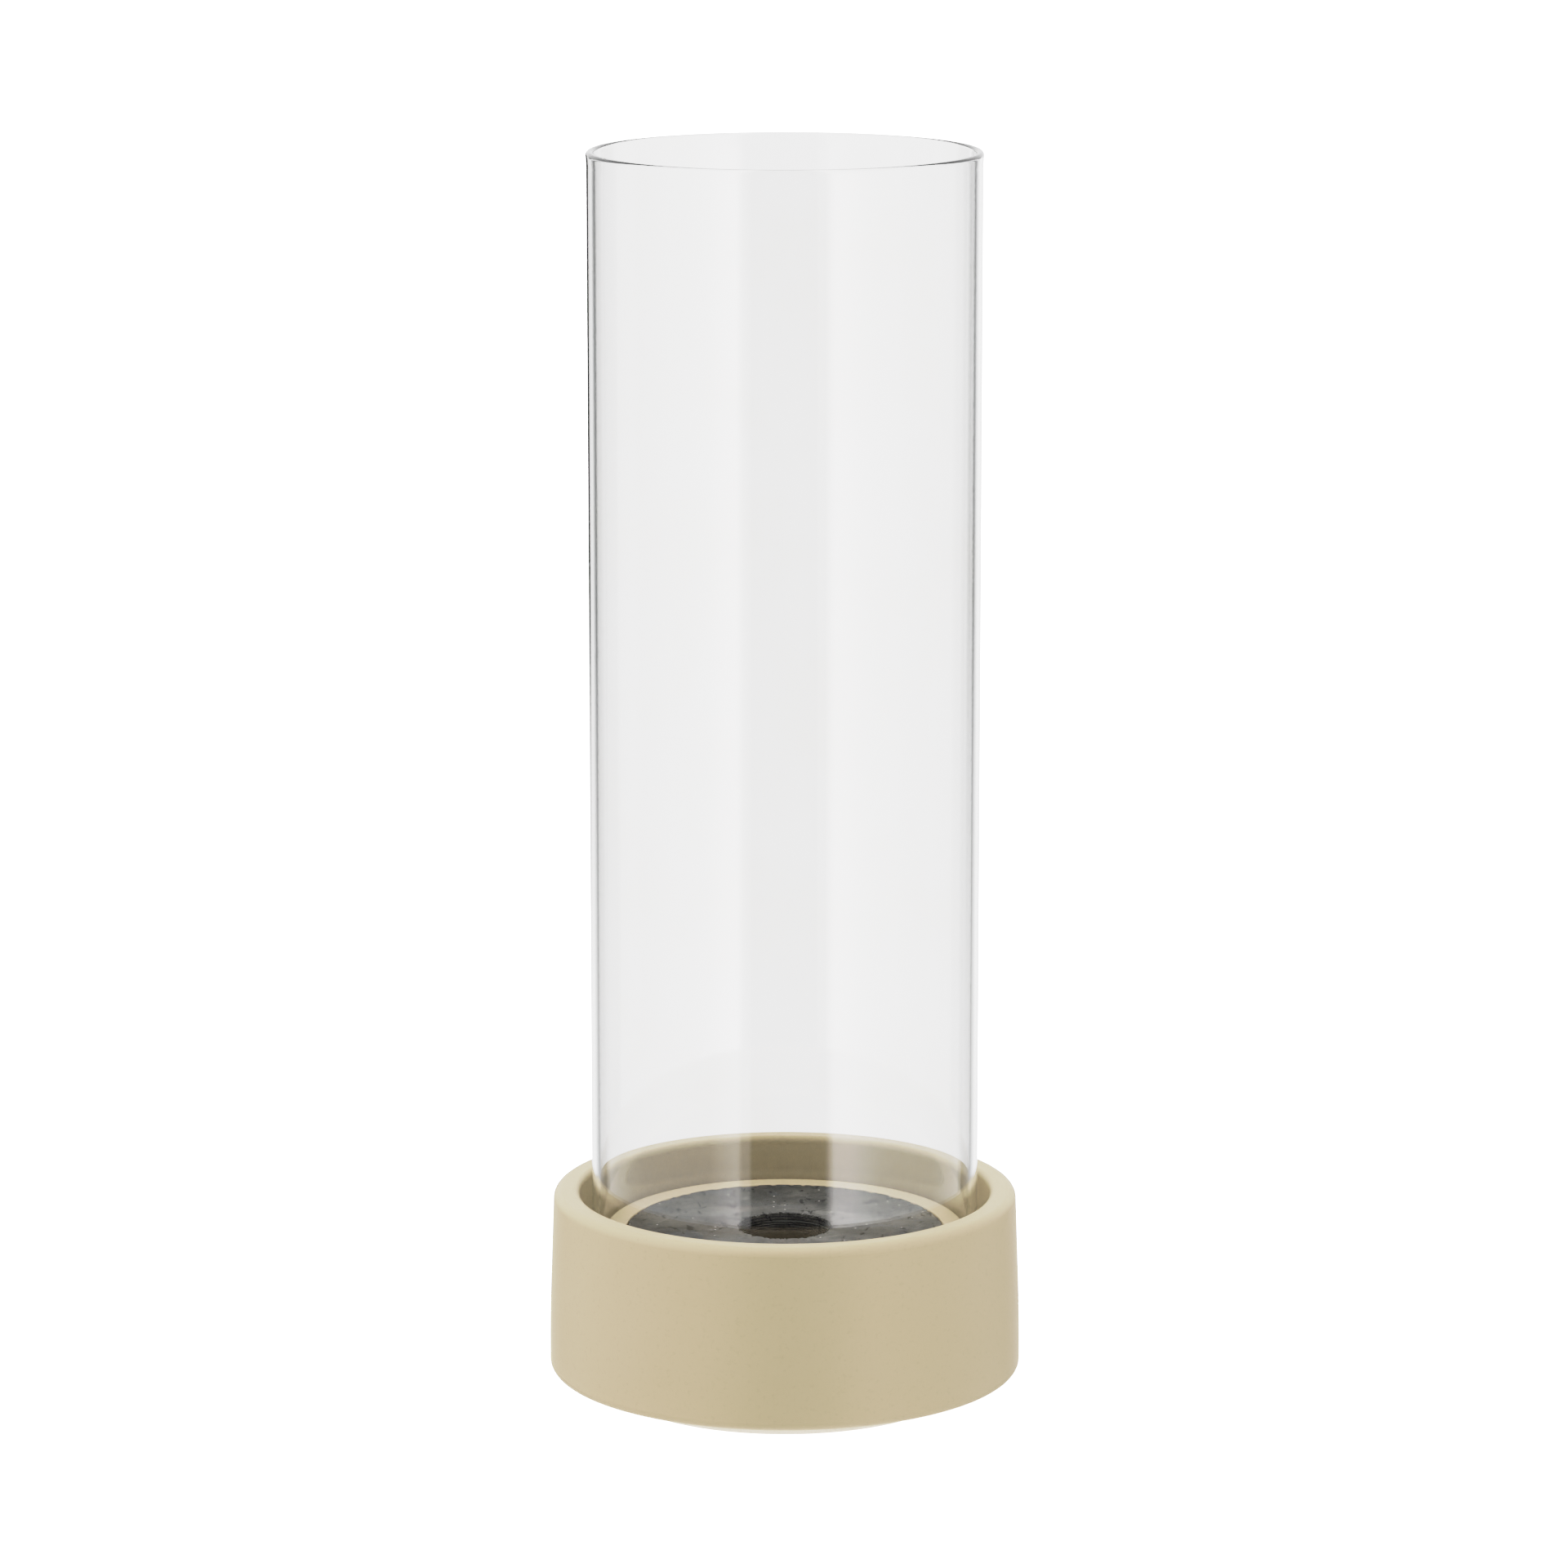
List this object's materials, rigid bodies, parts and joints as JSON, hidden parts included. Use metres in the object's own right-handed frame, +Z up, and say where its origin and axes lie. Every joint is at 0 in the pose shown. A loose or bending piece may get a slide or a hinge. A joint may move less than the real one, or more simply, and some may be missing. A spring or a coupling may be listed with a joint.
{
  "type": "hurricane candle lantern",
  "caption": "Clear glass cylinder standing in the grooved rim of a round ceramic base, with a slate disc holed for a taper candle.",
  "frame": {"origin": "middle of the foot ring's underside, on the surface that the lantern stands on", "axes": "+Z up along the axis of the glass, the slate and the base; X and Y are alike"},
  "size_m": [0.1222, 0.1222, 0.3218],
  "materials": {
    "ceramic": "matt beige glaze",
    "foot": "pale, matt",
    "slate": "split slate, semi-matt",
    "glass": "clear, melted ends"
  },
  "bodies": {
    "base": {"ceramic_base": "ceramic", "foot_ring": "foot"},
    "slate": {"slate_disc": "slate"},
    "glass": {"glass_cylinder": "glass"}
  },
  "joints": [
    {"name": "glass_lift", "type": "slide", "parent": "base", "child": "glass", "axis": [0, 0, 1], "range_m": [0, 0.3]},
    {"name": "slate_lift", "type": "slide", "parent": "base", "child": "slate", "axis": [0, 0, 1], "range_m": [0, 0.3]}
  ]
}
